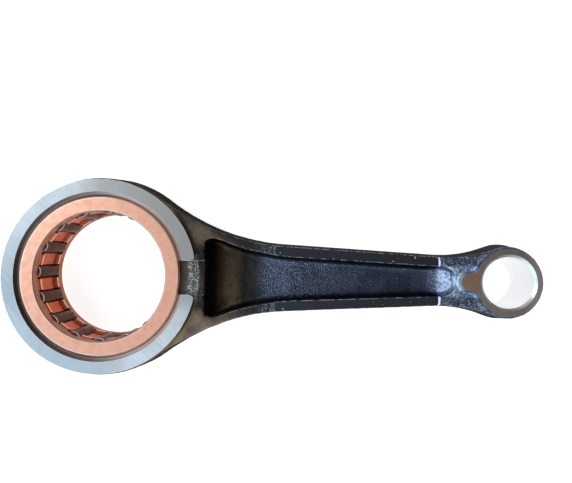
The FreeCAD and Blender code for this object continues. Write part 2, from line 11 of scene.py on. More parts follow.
import bmesh
import bpy
import numpy as np
from bpy.props import FloatProperty, FloatVectorProperty, IntProperty, PointerProperty
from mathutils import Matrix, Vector, noise


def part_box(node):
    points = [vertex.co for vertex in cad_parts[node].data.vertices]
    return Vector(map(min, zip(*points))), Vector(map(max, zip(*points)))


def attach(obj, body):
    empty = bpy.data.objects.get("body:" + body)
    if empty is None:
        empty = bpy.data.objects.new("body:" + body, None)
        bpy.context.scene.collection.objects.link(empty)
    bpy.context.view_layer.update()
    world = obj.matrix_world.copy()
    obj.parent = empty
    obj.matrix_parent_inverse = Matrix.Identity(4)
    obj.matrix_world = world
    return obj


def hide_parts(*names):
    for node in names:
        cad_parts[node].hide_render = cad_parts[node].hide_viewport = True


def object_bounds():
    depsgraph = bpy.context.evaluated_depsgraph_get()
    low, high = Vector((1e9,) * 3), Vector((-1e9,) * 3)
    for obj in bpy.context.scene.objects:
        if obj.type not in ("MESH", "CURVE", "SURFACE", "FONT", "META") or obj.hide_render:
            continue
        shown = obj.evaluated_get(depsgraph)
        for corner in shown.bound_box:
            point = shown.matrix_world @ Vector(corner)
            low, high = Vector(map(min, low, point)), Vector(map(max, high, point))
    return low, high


bl_info = {
    "name": "Connecting rod looks",
    "version": (1, 0, 0),
    "blender": (4, 5, 0),
    "location": "3D View > Sidebar > Connecting rod",
    "description": "Forged rod, plated cage, rollers and studio around the packed frame",
    "category": "Object",
}

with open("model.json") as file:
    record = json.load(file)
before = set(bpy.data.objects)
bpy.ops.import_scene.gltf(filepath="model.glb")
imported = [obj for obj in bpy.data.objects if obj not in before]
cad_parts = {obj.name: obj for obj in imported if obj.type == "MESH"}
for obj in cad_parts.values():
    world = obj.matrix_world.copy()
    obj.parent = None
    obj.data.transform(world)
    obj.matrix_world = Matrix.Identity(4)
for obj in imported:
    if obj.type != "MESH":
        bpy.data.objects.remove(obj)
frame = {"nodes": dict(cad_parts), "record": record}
CAD_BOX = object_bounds()
MM = 0.001
ROD, CAGE = "connecting_rod", "roller_cage"
ROLLERS = sorted(name for name in frame["nodes"] if name not in (ROD, CAGE))


def mount(name):
    """One of the record's mounts."""
    return next(item for item in frame["record"]["mounts"] if item["name"] == name)


EYE_GAP = 0.1 * MM
SMALL_X = mount("small_end_bore")["pos_m"][0]
SMALL_BORE = mount("small_end_bore")["dims"]["r_mm"] * MM
THRUST_Z = mount("big_end_top_face")["pos_m"][2]
GUDGEON_Z = mount("small_end_top_face")["pos_m"][2]
CAGE_RADIUS, CAGE_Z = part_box(CAGE)[1].x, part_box(CAGE)[1].z
EYE_RADIUS = CAGE_RADIUS + EYE_GAP
ROLLER_LOW, ROLLER_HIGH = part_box(ROLLERS[0])
ROLLER_RADIUS = (ROLLER_HIGH.x - ROLLER_LOW.x) / 2
ROLLER_HALF = ROLLER_HIGH.z
PITCH = math.hypot((ROLLER_LOW.x + ROLLER_HIGH.x) / 2, (ROLLER_LOW.y + ROLLER_HIGH.y) / 2)


# ---------------------------------------------------------------- settings

def length(name, millimetres, description):
    """A length setting, given in millimetres and kept in metres."""
    return FloatProperty(name=name, description=description, default=millimetres * MM,
                         unit="LENGTH", subtype="DISTANCE", precision=5)


def colour(name, value, description):
    """A colour setting, in linear light."""
    return FloatVectorProperty(name=name, description=description, default=value, size=3,
                               min=0.0, max=1.0, subtype="COLOR")


class RodSettings(bpy.types.PropertyGroup):
    """Sizes of the forging and of what is machined on it"""
    grain: length("Mesh grain", 0.36, "Size of the forging's mesh")
    stock: length("Machining stock", 0.6, "Metal left on the blank where it's machined later")
    thrust_radius: length("Thrust face radius", 26.0, "Outside of the ground thrust face")
    eye_chamfer: length("Eye chamfer", 1.1, "At both edges of the big-end bore")
    small_chamfer: length("Small chamfer", 0.6, "At both edges of the small bore")
    small_face: length("Small face radius", 9.15, "Outside of the small end's face ring")
    land_height: length("Land height", 6.15, "Of the milled lands above the parting line")
    land_start: length("Land start", 46.6, "Station of the lands' wide end")
    land_stop: length("Land stop", 91.3, "Station of the lands' narrow end")
    land_depth: length("Land depth", 0.35, "Milled off each rail to leave its land")
    land_wide: length("Land wide end", 9.35, "Half width over both lands at their wide end")
    land_narrow: length("Land narrow end", 6.95, "Half width over both lands at their narrow end")
    land_corner: length("Land corner", 1.4, "Plan radius of the lands' corners")
    land_run_out: length("Land run-out", 0.6, "Length of the cutter's slope at a land's end")
    slot_floor: length("Slot floor", 6.8, "Height of the oil slot's floor")
    slot_width: length("Slot width", 9.0, "Width of the oil slot")
    slot_end: length("Slot end", 28.3, "Station where the oil slot runs out")
    slot_corner: length("Slot corner", 1.3, "Plan radius where the slot leaves the thrust face")
    slot_corner_depth: length("Slot corner depth", 1.55, "Depth of that round corner")
    flash_depth: length("Flash line", 0.10, "Height of the trimmed flash along the parting line")


class CageSettings(bpy.types.PropertyGroup):
    """Sizes of the cage's section and its pockets"""
    ring_bore: length("Ring bore", 17.5, "Bore of the end rings")
    nose_bore: length("Nose bore", 17.21, "Bore across the bars' noses")
    waist_bore: length("Waist bore", 18.06, "Bore between the noses")
    nose_top: length("Nose top", 5.28, "Where the noses start")
    nose_foot: length("Nose foot", 4.48, "Where the noses stop")
    edge: length("Outer edge", 0.4, "Chamfer at the outer edges")
    lip: length("Inner lip", 0.25, "Chamfer at the end rings' inner edges")
    pocket_gap: length("Pocket gap", 0.09, "Between a roller and its pocket")
    pocket_end: length("Pocket end gap", 0.12, "Between a roller's end and its pocket")
    mouth: length("Pocket mouth", 3.89, "Opening of each pocket")
    phase: FloatProperty(name="Phase", description="Angle of the first pocket", subtype="ANGLE",
                         default=math.atan2(ROLLER_LOW.y + ROLLER_HIGH.y,
                                            ROLLER_LOW.x + ROLLER_HIGH.x))


class RollerSettings(bpy.types.PropertyGroup):
    """Sizes of the rollers' ends"""
    end_round: length("End rounding", 0.6, "Rounding of the rollers' ends")
    dimple: length("End dimple", 0.15, "Depth of the hollow in each roller's end")
    segments: IntProperty(name="Segments", description="Facets round a roller", default=96, min=12)


class FinishSettings(bpy.types.PropertyGroup):
    """Colours of each finish"""
    scale_brown: colour("Forging, big end", (0.130, 0.095, 0.064), "Oxide round the big end")
    scale_black: colour("Forging, channel", (0.018, 0.015, 0.012), "Oxide where the channel starts")
    scale_navy: colour("Forging, shank", (0.043, 0.058, 0.096), "Oxide along the shank")
    scale_blue: colour("Forging, small end", (0.062, 0.078, 0.125), "Oxide near the small end")
    # Oxide of the drafted sides, darkened as painted shade
    scale_side_shade: colour("Forging, sides", (0.042, 0.041, 0.037), "Oxide on the drafted sides")
    # The bright band round the tongue's tip is a painted highlight.
    tongue_nose: length("Tongue nose", 99.4, "Centre of the tongue's round tip, which is rubbed bright")
    ground: colour("Ground face", (0.385, 0.445, 0.50), "Ground thrust faces")
    milled: colour("Milled land", (0.042, 0.050, 0.066), "Milled lands")
    turned: colour("Small face", (0.37, 0.255, 0.19), "Small end's machined faces")
    bored: colour("Bored steel", (0.80, 0.81, 0.82), "Bores and chamfers")
    copper: colour("Copper plate", (0.87, 0.465, 0.335), "The cage's plating")
    # Painted shade: the plating's colour on the cage's inner faces.
    copper_shade_inside: colour("Copper inside", (0.46, 0.085, 0.032), "The cage's plating inside")
    roller: colour("Roller steel", (0.074, 0.040, 0.032), "The rollers")


class StageSettings(bpy.types.PropertyGroup):
    """Camera and floor"""
    camera_x: length("Camera X", 48.7, "Camera's place along the rod")
    camera_y: length("Camera Y", 7.04, "Camera's place across the rod")
    camera_z: length("Camera height", 136.2, "Camera's height above the parting line")
    tilt_x: FloatProperty(name="Tilt X", description="Camera's tilt about X", subtype="ANGLE",
                          default=math.radians(1.36))
    tilt_y: FloatProperty(name="Tilt Y", description="Camera's tilt about Y", subtype="ANGLE",
                          default=math.radians(-0.418))
    turn: FloatProperty(name="Turn", description="Camera's turn about Z", subtype="ANGLE",
                        default=math.radians(1.007))
    lens: FloatProperty(name="Lens", description="Focal length", default=30.09, unit="CAMERA")
    floor: colour("Floor", (0.80, 0.80, 0.80), "Floor's colour")
    floor_glow: FloatProperty(name="Floor glow", description="Light given by the white floor",
                              default=0.80)


# ---------------------------------------------------------------- mesh helpers

def mesh_object(name, mesh):
    """A linked object for a mesh."""
    piece = bpy.data.objects.new(name, mesh)
    bpy.context.scene.collection.objects.link(piece)
    return piece


def solid(name, points, faces):
    """An object from points and faces, with its faces turned outwards."""
    mesh = bpy.data.meshes.new(name)
    mesh.from_pydata([tuple(point) for point in points], [], faces)
    work = bmesh.new()
    work.from_mesh(mesh)
    bmesh.ops.recalc_face_normals(work, faces=work.faces)
    work.to_mesh(mesh)
    work.free()
    return mesh_object(name, mesh)


def prism(name, outline, low, high, far_outline=None):
    """A closed prism from a plan outline, straight or splayed to a second one at its high end."""
    count = len(outline)
    points = [(x, y, low) for x, y in outline]
    points += [(x, y, high) for x, y in far_outline or outline]
    faces = [tuple(range(count))[::-1], tuple(range(count, 2 * count))]
    faces += [(i, (i + 1) % count, count + (i + 1) % count, count + i) for i in range(count)]
    return solid(name, points, faces)


def lathe(name, profile, segments, centre=(0.0, 0.0), phase=0.0, closed=False):
    """A solid of revolution about Z. The profile is (radius, height) pairs from axis to axis, or a
    closed loop clear of the axis."""
    points, rings = [], []
    for radius, height in profile:
        if radius == 0:
            rings.append([len(points)] * segments)
            points.append((centre[0], centre[1], height))
            continue
        rings.append(list(range(len(points), len(points) + segments)))
        for step in range(segments):
            angle = phase + 2 * math.pi * step / segments
            points.append((centre[0] + radius * math.cos(angle),
                           centre[1] + radius * math.sin(angle), height))
    pairs = list(zip(rings, rings[1:]))
    if closed:
        pairs.append((rings[-1], rings[0]))
    faces = []
    for lower, upper in pairs:
        for step in range(segments):
            after = (step + 1) % segments
            corners = (lower[step], lower[after], upper[after], upper[step])
            faces.append(tuple(dict.fromkeys(corners)))
    return solid(name, points, faces)


def arc(centre, radius, start, stop, steps=16):
    """Points along an arc, with its angles in radians."""
    return [(centre[0] + radius * math.cos(start + (stop - start) * step / steps),
             centre[1] + radius * math.sin(start + (stop - start) * step / steps))
            for step in range(steps + 1)]


def rounded_box(x0, x1, y0, y1, radius):
    """Outline of a rectangle with round corners."""
    quarter = math.pi / 2
    corners = ((x1 - radius, y1 - radius, 0), (x0 + radius, y1 - radius, 1),
               (x0 + radius, y0 + radius, 2), (x1 - radius, y0 + radius, 3))
    return [point for x, y, turn in corners
            for point in arc((x, y), radius, turn * quarter, (turn + 1) * quarter, 8)]


def settle(piece):
    """Turn a piece's modifiers into its own mesh."""
    graph = bpy.context.evaluated_depsgraph_get()
    mesh = bpy.data.meshes.new_from_object(piece.evaluated_get(graph))
    old = piece.data
    piece.modifiers.clear()
    piece.data = mesh
    bpy.data.meshes.remove(old)
    return piece


def discard(piece):
    """Remove an object and its mesh."""
    mesh = piece.data
    bpy.data.objects.remove(piece)
    bpy.data.meshes.remove(mesh)


def cut(piece, cutters):
    """Cut each tool out of a piece, and remove the tools."""
    for cutter in cutters:
        step = piece.modifiers.new("cut", "BOOLEAN")
        step.operation, step.solver, step.object = "DIFFERENCE", "MANIFOLD", cutter
        settle(piece)
        discard(cutter)


def join(target, others):
    """Put other objects' meshes into one object's mesh."""
    work = bmesh.new()
    for piece in (target, *others):
        work.from_mesh(piece.data)
    work.to_mesh(target.data)
    work.free()
    for piece in others:
        discard(piece)


def rows(items, kind):
    """One vector for each point or face of a mesh, as rows: its place, normal or centre."""
    flat = np.empty(len(items) * 3, np.float32)
    items.foreach_get(kind, flat)
    return flat.reshape(-1, 3).astype(float)


def move_to(mesh, places):
    """Give a mesh's points new places."""
    mesh.vertices.foreach_set("co", places.astype(np.float32).ravel())
    mesh.update()


def smooth_step(value, low, high):
    """0 below low, 1 above high, and a smooth rise between."""
    share = np.clip((value - low) / (high - low), 0, 1)
    return share * share * (3 - 2 * share)


def finish_faces(piece, sharp_degrees):
    """Smooth shading with sharp edges by angle and wherever the finish changes."""
    mesh = piece.data
    mesh.shade_smooth()
    mesh.set_sharp_from_angle(angle=math.radians(sharp_degrees))
    work = bmesh.new()
    work.from_mesh(mesh)
    for edge in work.edges:
        if len({face.material_index for face in edge.link_faces}) > 1:
            edge.smooth = False
    work.to_mesh(mesh)
    work.free()


# ---------------------------------------------------------------- shader helpers

def feed(tree, node, inputs):
    """Link or set a node's inputs, each by its number or name."""
    for key, value in inputs.items():
        if isinstance(value, bpy.types.NodeSocket):
            tree.links.new(value, node.inputs[key])
        else:
            node.inputs[key].default_value = value


def add_node(tree, kind, inputs=None, **settings):
    """A shader node with its settings, and its inputs as values or links."""
    node = tree.nodes.new("ShaderNode" + kind)
    for name, value in settings.items():
        setattr(node, name, value)
    feed(tree, node, inputs or {})
    return node


def maths(tree, operation, *values, clamp=False):
    """The result of a Math node."""
    inputs = dict(enumerate(values))
    return add_node(tree, "Math", inputs, operation=operation, use_clamp=clamp).outputs[0]


def mixed(tree, share, first, second, blend="MIX"):
    """The result of a colour Mix node. Numbers for a colour have four parts."""
    return add_node(tree, "Mix", {0: share, 6: first, 7: second}, data_type="RGBA",
                    blend_type=blend).outputs[2]


def between(tree, value, low, high, to_low=0.0, to_high=1.0, smooth=True):
    """A value carried from one range to another."""
    kind = "SMOOTHSTEP" if smooth else "LINEAR"
    node = add_node(tree, "MapRange", {0: value, 1: low, 2: high, 3: to_low, 4: to_high},
                    interpolation_type=kind)
    return node.outputs[0]


def ramp(tree, value, stops):
    """Colours along a value from 0 to 1: each stop is (place, colour)."""
    node = add_node(tree, "ValToRGB", {0: value})
    band = node.color_ramp
    while len(band.elements) < len(stops):
        band.elements.new(1.0)
    for element, (place, tone) in zip(band.elements, stops):
        element.position, element.color = place, (*tone, 1.0)
    return node.outputs[0]


def noise_value(tree, place, scale, detail=3.0, roughness=0.55):
    """A noise texture's value at a place in millimetres."""
    return add_node(tree, "TexNoise", {"Vector": place, "Scale": scale, "Detail": detail,
                                       "Roughness": roughness}).outputs[0]


def new_group(name, inputs, outputs):
    """A shader node group with named sockets: each is (name, kind, default)."""
    group = bpy.data.node_groups.new(name, "ShaderNodeTree")
    for sockets, way in ((inputs, "INPUT"), (outputs, "OUTPUT")):
        for label, kind, default in sockets:
            socket = group.interface.new_socket(label, in_out=way, socket_type="NodeSocket" + kind)
            if default is not None:
                socket.default_value = default
    enter = group.nodes.new("NodeGroupInput")
    leave = group.nodes.new("NodeGroupOutput")
    return group, enter.outputs, leave.inputs


def place_group():
    """Place on the piece in millimetres, and its distance from the big-end and small-end axes."""
    group, _, out = new_group("place", (), (("Place", "Vector", None), ("Across", "Float", None),
                                            ("Along", "Float", None), ("Height", "Float", None),
                                            ("Big Radius", "Float", None),
                                            ("Small Radius", "Float", None)))
    links = group.links
    here = add_node(group, "TexCoord").outputs["Object"]
    scaled = add_node(group, "VectorMath", {0: here, "Scale": 1 / MM}, operation="SCALE").outputs[0]
    parts = add_node(group, "SeparateXYZ", {0: scaled}).outputs
    links.new(scaled, out["Place"])
    links.new(parts[0], out["Along"])
    links.new(parts[1], out["Across"])
    links.new(parts[2], out["Height"])
    for centre, name in ((0.0, "Big Radius"), (SMALL_X / MM, "Small Radius")):
        off = maths(group, "SUBTRACT", parts[0], centre)
        flat = add_node(group, "CombineXYZ", {0: off, 1: parts[1]}).outputs[0]
        links.new(add_node(group, "VectorMath", {0: flat}, operation="LENGTH").outputs["Value"],
                  out[name])
    return group


def edge_wear_and_glint_group():
    """Mask that is 1 along worn edges and broken up by noise; the same mask paints highlights where
    edges would catch the light.
    """
    group, enter, out = new_group(
        "edge_wear_and_glint", (("Place", "Vector", None), ("Radius", "Float", 0.0002),
                      ("Break", "Float", 1.6), ("Cover", "Float", 0.5)),
        (("Mask", "Float", None),))
    bevel = add_node(group, "Bevel", {"Radius": enter["Radius"]}, samples=6).outputs[0]
    face = add_node(group, "NewGeometry").outputs["Normal"]
    facing = add_node(group, "VectorMath", {0: bevel, 1: face}, operation="DOT_PRODUCT")
    edge = between(group, facing.outputs["Value"], 0.995, 0.90)
    broken = noise_value(group, enter["Place"], enter["Break"], 2.0)
    low = maths(group, "SUBTRACT", 1.0, enter["Cover"])
    kept = between(group, broken, low, maths(group, "ADD", low, 0.12))
    group.links.new(maths(group, "MULTIPLY", edge, kept), out["Mask"])
    return group


def scratch_group():
    """Fine straight scratches that run one way, as a height and a value for colour."""
    group, enter, out = new_group(
        "scratches", (("Place", "Vector", None), ("Turn", "Float", 0.0), ("Scale", "Float", 1.0)),
        (("Height", "Float", None), ("Tone", "Float", None)))
    turned = add_node(group, "VectorRotate", {"Vector": enter["Place"], "Angle": enter["Turn"]},
                      rotation_type="Z_AXIS").outputs[0]
    total, scales = None, ((0.10, 7.0, 0.55), (0.25, 19.0, 0.45))
    for along, over, weight in scales:
        stretched = add_node(group, "VectorMath", {0: turned, 1: (along, over, 1.0)},
                             operation="MULTIPLY").outputs[0]
        value = noise_value(group, stretched, enter["Scale"], 4.0, 0.7)
        value = maths(group, "MULTIPLY", value, weight)
        total = value if total is None else maths(group, "ADD", total, value)
    group.links.new(total, out["Height"])
    group.links.new(between(group, total, 0.36, 0.64), out["Tone"])
    return group


def skin_group():
    """Rough forged skin: its fine height, bright rubbed specks and a slow mottle."""
    group, enter, out = new_group(
        "forged_skin", (("Place", "Vector", None), ("Scale", "Float", 1.0), ("Specks", "Float", 0.5)),
        (("Height", "Float", None), ("Specks", "Float", None), ("Mottle", "Float", None)))
    fine = noise_value(group, enter["Place"], maths(group, "MULTIPLY", enter["Scale"], 1.7), 5.0, 0.65)
    cells = add_node(group, "TexVoronoi",
                     {"Vector": enter["Place"], "Scale": maths(group, "MULTIPLY", enter["Scale"], 1.3),
                      "Randomness": 1.0}, feature="SMOOTH_F1").outputs["Distance"]
    height = maths(group, "SUBTRACT", fine, maths(group, "MULTIPLY", cells, 0.35))
    group.links.new(height, out["Height"])
    low = maths(group, "SUBTRACT", 0.72, maths(group, "MULTIPLY", enter["Specks"], 0.25))
    spots = noise_value(group, enter["Place"], maths(group, "MULTIPLY", enter["Scale"], 2.6), 2.0, 0.5)
    group.links.new(between(group, spots, low, maths(group, "ADD", low, 0.10)), out["Specks"])
    group.links.new(noise_value(group, enter["Place"], 0.16, 3.0), out["Mottle"])
    return group


GROUPS = {}


def placed(tree, name, inputs=None):
    """Outputs of a shared group placed in a material."""
    makers = {"place": place_group, "edge_wear_and_glint": edge_wear_and_glint_group, "scratches": scratch_group,
              "forged_skin": skin_group}
    if name not in GROUPS:
        GROUPS[name] = makers[name]()
    node = add_node(tree, "Group", node_tree=GROUPS[name])
    feed(tree, node, inputs or {})
    return node.outputs


def new_material(name, **plain):
    """A material with a Principled shader, whose plain values are set on its own sockets."""
    material = bpy.data.materials.new(name)
    material.use_nodes = True
    shader = material.node_tree.nodes["Principled BSDF"]
    for socket, value in plain.items():
        shader.inputs[socket.replace("_", " ")].default_value = value
    return material, material.node_tree, shader.inputs


def bump(tree, height, distance, strength=1.0):
    """A Bump node's normal, for a height given as 0 to 1 over a distance in metres."""
    return add_node(tree, "Bump", {"Height": height, "Distance": distance,
                                   "Strength": strength}).outputs[0]


def solid_colour(value, share=1.0):
    """A setting's colour as four numbers, made lighter or darker."""
    return tuple(min(part * share, 1.0) for part in value) + (1.0,)


# ---------------------------------------------------------------- finishes
# Stations, radii and heights in this section are in millimetres, as the place group gives them.

def times(tree, first, second):
    """Two values multiplied."""
    return maths(tree, "MULTIPLY", first, second)


def unsigned(tree, value):
    """A value without its sign, so that both sides of the rod are alike."""
    return maths(tree, "ABSOLUTE", value)


def covered(tree, tone, mask, paint, share=1.0):
    """A tone with a paint over it where the mask is 1, up to a share."""
    mask = mask if share == 1.0 else times(tree, mask, share)
    return mixed(tree, mask, tone, solid_colour(paint))


def toned(tree, tone, mask, factor):
    """A tone multiplied by a factor for each colour part where the mask is 1."""
    return mixed(tree, mask, tone, mixed(tree, 1.0, tone, (*factor, 1.0), "MULTIPLY"))


def two_shades(tree, share, paint, first, second):
    """One paint in two strengths, blended by a share."""
    return mixed(tree, share, solid_colour(paint, first), solid_colour(paint, second))


def worn_and_glinting_edges(tree, place, radius, scale, cover):
    """Mask of the worn edges within a radius in metres, also used for painted edge highlights."""
    return placed(tree, "edge_wear_and_glint", {"Place": place["Place"], "Radius": radius, "Break": scale,
                                      "Cover": cover})["Mask"]


def scratched(tree, place, turn, scale):
    """Outputs of the scratches group at a turn in radians."""
    return placed(tree, "scratches", {"Place": place["Place"], "Turn": turn, "Scale": scale})


def along_shank(tree, station, stops):
    """Colours along the shank: each stop is (station, colour)."""
    start, stop = 26.0, 98.0
    share = between(tree, station, start, stop, smooth=False)
    return ramp(tree, share, [((place - start) / (stop - start), tone) for place, tone in stops])


def wire(tree, shader, tone, roughness, normal=None):
    """Link a finish's colour, roughness and normal to its shader."""
    tree.links.new(tone, shader["Base Color"])
    tree.links.new(roughness, shader["Roughness"])
    if normal:
        tree.links.new(normal, shader["Normal"])


def oxide_above(tree, place, skin, colours):
    """Oxide seen from above: the channel's bands, the rails, the dark end of the oil slot, and painted
    light on the -Y side of the shoulder.
    """
    brown, black, navy, blue = (colours.scale_brown, colours.scale_black, colours.scale_navy,
                                colours.scale_blue)
    rust, smoke, cold = (0.062, 0.044, 0.027), (0.036, 0.036, 0.034), (0.060, 0.082, 0.140)
    dull_brown, dull_blue = (0.050, 0.042, 0.035), (0.042, 0.044, 0.052)
    wavy = maths(tree, "ADD", place["Along"], times(tree, skin["Mottle"], 1.2))
    cold_end = ((87.92, navy), (92.24, blue), (98.0, blue))
    channel = along_shank(tree, wavy, (
        (26.0, black), (30.68, black), (33.2, rust), (36.08, rust), (38.6, black), (41.84, smoke),
        (44.0, navy), (49.76, cold), (56.96, navy), *cold_end))
    rail = along_shank(tree, wavy, (
        (26.0, brown), (30.32, brown), (37.52, dull_brown), (46.16, dull_blue), *cold_end))
    rail_height, past_ring, slot_sides, slot_end = (5.2, 6.2), (26.2, 27.0), (10.5, 7.5), (30.0, 28.0)
    tone = mixed(tree, between(tree, unsigned(tree, place["Height"]), *rail_height), channel, rail)
    throat = times(tree, between(tree, place["Big Radius"], *past_ring),
                   between(tree, unsigned(tree, place["Across"]), *slot_sides))
    throat = times(tree, throat, between(tree, place["Along"], *slot_end))
    tone = covered(tree, tone, throat, black, 0.9)
    # Painted light: the -Y side of the shoulder is lightened and cooled.
    light_across, light_along = (6.0, -12.0), (46.0, 30.0)
    painted_light = times(tree, between(tree, place["Across"], *light_across),
                 between(tree, place["Along"], *light_along))
    tone = toned(tree, tone, painted_light, (1.7, 1.75, 1.8))
    return toned(tree, tone, between(tree, skin["Mottle"], 0.40, 0.62), (0.62, 0.62, 0.64))


def oxide_and_shade_beside(tree, place, skin, colours):
    """Oxide on the drafted sides, painted darker as shade where they face sideways, with navy walls
    inside the channel.
    """
    light_brown, small_grey, speck_grey = (0.075, 0.066, 0.054), (0.095, 0.095, 0.090), (0.16,) * 3
    shank, inside_rails, small_end = (36.0, 44.0), (7.4, 6.6), (92.0, 98.0)
    walls = times(tree, between(tree, place["Along"], *shank),
                  between(tree, unsigned(tree, place["Across"]), *inside_rails))
    side = mixed(tree, between(tree, skin["Mottle"], 0.42, 0.60), solid_colour(colours.scale_side_shade),
                 solid_colour(light_brown))
    side = covered(tree, side, between(tree, place["Along"], *small_end), small_grey)
    side = mixed(tree, walls, side, solid_colour(colours.scale_navy, 1.2))
    return covered(tree, side, skin["Specks"], speck_grey, 0.25)


def tongue_rim_highlight(tree, place, nose):
    """Mask of a painted highlight round the tongue's tip, on its -X side."""
    off = maths(tree, "SUBTRACT", place["Along"], nose / MM)
    flat = add_node(tree, "CombineXYZ", {0: off, 1: place["Across"]}).outputs[0]
    reach = add_node(tree, "VectorMath", {0: flat}, operation="LENGTH").outputs["Value"]
    return times(tree, between(tree, reach, 3.02, 2.86), between(tree, off, -0.7, -1.6))


def forging_material(colours):
    """Oxidised forging: brown round the big end, black where the channel starts, then navy with
    rubbed specks, and blue by the small end. Its drafted sides are painted darker as shade.
    Painted highlights lie on the lump crests by the small end and round the tongue's tip, a painted
    reflection lies on the scoop, and painted highlights join the worn edges."""
    material, tree, shader = new_material("forged_scale", Metallic=1.0,
                                          Specular_Tint=(0.14, 0.14, 0.14, 1.0))
    place = placed(tree, "place")
    along = place["Along"]
    skin = placed(tree, "forged_skin", {"Place": place["Place"], "Scale": 1.35, "Specks": 0.72})
    upright = add_node(tree, "SeparateXYZ", {0: add_node(tree, "NewGeometry").outputs["Normal"]})
    level = between(tree, unsigned(tree, upright.outputs[2]), 0.20, 0.60)
    # Painted shade: faces turned sideways take the darker colours of the sides.
    tone = mixed(tree, level, oxide_and_shade_beside(tree, place, skin, colours),
                 oxide_above(tree, place, skin, colours))

    rubbed_blue, crest_highlight_blue, scoop_reflection_blue = (0.42, 0.50, 0.66), (0.32, 0.40, 0.58), (0.52, 0.66, 0.88)
    specks = along_shank(tree, along, (
        (26.0, (0.12,) * 3), (31.76, (0.03,) * 3), (41.12, (0.04,) * 3), (44.72, (0.60,) * 3),
        (51.92, (0.75,) * 3), (63.44, (0.35,) * 3), (87.92, (0.16,) * 3), (92.24, (0.8,) * 3)))
    tone = covered(tree, tone, times(tree, times(tree, skin["Specks"], specks), level), rubbed_blue)

    lumps = noise_value(tree, place["Place"], 1.6, 2.0, 0.5)
    lumpy_end, scoop_start, scoop_sides = (89.6, 91.6), (91.2, 92.8), (4.6, 3.6)
    lumpy = between(tree, along, *lumpy_end)
    # Painted highlights on the crests of the lumps by the small end.
    crests = times(tree, between(tree, lumps, 0.50, 0.66), lumpy)
    tone = covered(tree, tone, times(tree, crests, times(tree, level, 0.5)), crest_highlight_blue)
    # Painted reflection of the window on the scoop's slope, which faces -X.
    scoop = times(tree, between(tree, along, *scoop_start),
                  between(tree, unsigned(tree, place["Across"]), *scoop_sides))
    scoop = times(tree, scoop, between(tree, lumps, 0.30, 0.58, 0.30, 1.0))
    tone = covered(tree, tone, scoop, scoop_reflection_blue, 0.85)
    # Painted highlight round the tongue's tip.
    tone = covered(tree, tone, tongue_rim_highlight(tree, place, colours.tongue_nose), (0.80, 0.90, 1.0))
    wear_and_glint = times(tree, worn_and_glinting_edges(tree, place, 0.0004, 0.9, 0.74), level)
    # Worn edges with painted edge highlights.
    tone = covered(tree, tone, wear_and_glint, (0.58, 0.60, 0.68), 0.8)

    relief = maths(tree, "ADD", skin["Height"], times(tree, times(tree, lumps, lumpy), 2.2))
    wire(tree, shader, tone, between(tree, skin["Mottle"], 0.3, 0.7, 0.36, 0.50),
         bump(tree, relief, 0.00012, 0.9))
    return material


def ground_material(colours):
    """Ground thrust face: bright steel with slanting grinding scratches, with a painted highlight along
    one diagonal where they would catch the light, a painted cool reflection on the -Y side and painted
    shade on the +X +Y side."""
    material, tree, shader = new_material("ground_steel", Metallic=1.0)
    place = placed(tree, "place")
    first, second = scratched(tree, place, 0.95, 1.0), scratched(tree, place, 0.62, 0.7)
    tone = two_shades(tree, first["Tone"], colours.ground, 0.74, 1.20)
    bright, cool, stain_and_shade_tone, edge = ((0.86, 0.90, 0.94), (0.60, 0.69, 0.77), (0.37, 0.355, 0.335),
                                   (0.92, 0.94, 0.96))
    side = add_node(tree, "VectorMath", {0: place["Place"], 1: (0.62, -0.78, 0.0)},
                    operation="DOT_PRODUCT").outputs["Value"]
    side = unsigned(tree, maths(tree, "DIVIDE", side, place["Big Radius"]))
    # Painted highlight along one diagonal.
    lay_highlight = times(tree, between(tree, side, 0.76, 0.97),
                between(tree, second["Tone"], 0.1, 0.7, 0.45, 1.0))
    lay_highlight = times(tree, lay_highlight, between(tree, place["Along"], -16.0, 4.0, 0.12, 1.0))
    tone = covered(tree, tone, lay_highlight, bright, 0.9)
    # Painted reflection: cooler and lighter on the -Y side.
    tone = covered(tree, tone, between(tree, place["Across"], -3.0, -18.0), cool, 0.5)
    stain = between(tree, noise_value(tree, place["Place"], 0.12, 4.0), 0.42, 0.66)
    # Painted shade on the +X +Y side, mixed with the stains' noise.
    shade_right = times(tree, between(tree, place["Along"], -18.0, 6.0),
                  between(tree, place["Across"], -2.0, 8.0))
    stain = maths(tree, "ADD", times(tree, stain, 0.30), times(tree, shade_right, 0.7), clamp=True)
    tone = covered(tree, tone, stain, stain_and_shade_tone)
    # Worn edges with painted edge highlights.
    tone = covered(tree, tone, worn_and_glinting_edges(tree, place, 0.00025, 0.8, 0.62), edge, 0.8)
    both = maths(tree, "ADD", first["Height"], second["Height"])
    wire(tree, shader, tone, between(tree, second["Tone"], 0.0, 1.0, 0.30, 0.44),
         bump(tree, both, 0.000012, 0.9))
    return material


def milled_material(colours):
    """Milled land: smooth blued steel with faint cutter lines along it."""
    material, tree, shader = new_material("milled_land", Metallic=1.0)
    place = placed(tree, "place")
    lines = scratched(tree, place, 0.0, 0.8)
    tone = two_shades(tree, lines["Tone"], colours.milled, 0.8, 1.25)
    stain = between(tree, noise_value(tree, place["Place"], 0.11, 3.0), 0.44, 0.60)
    nicks = between(tree, noise_value(tree, place["Place"], 0.9, 1.0), 0.74, 0.77)
    tone = covered(tree, tone, stain, (0.048, 0.044, 0.056), 0.6)
    # Worn edges with painted edge highlights.
    tone = covered(tree, tone, worn_and_glinting_edges(tree, place, 0.0004, 0.8, 0.57), (0.70, 0.72, 0.78), 0.85)
    tone = covered(tree, tone, nicks, (0.80, 0.81, 0.83))
    wire(tree, shader, tone, between(tree, lines["Tone"], 0.0, 1.0, 0.34, 0.46),
         bump(tree, lines["Height"], 0.000006, 0.8))
    return material


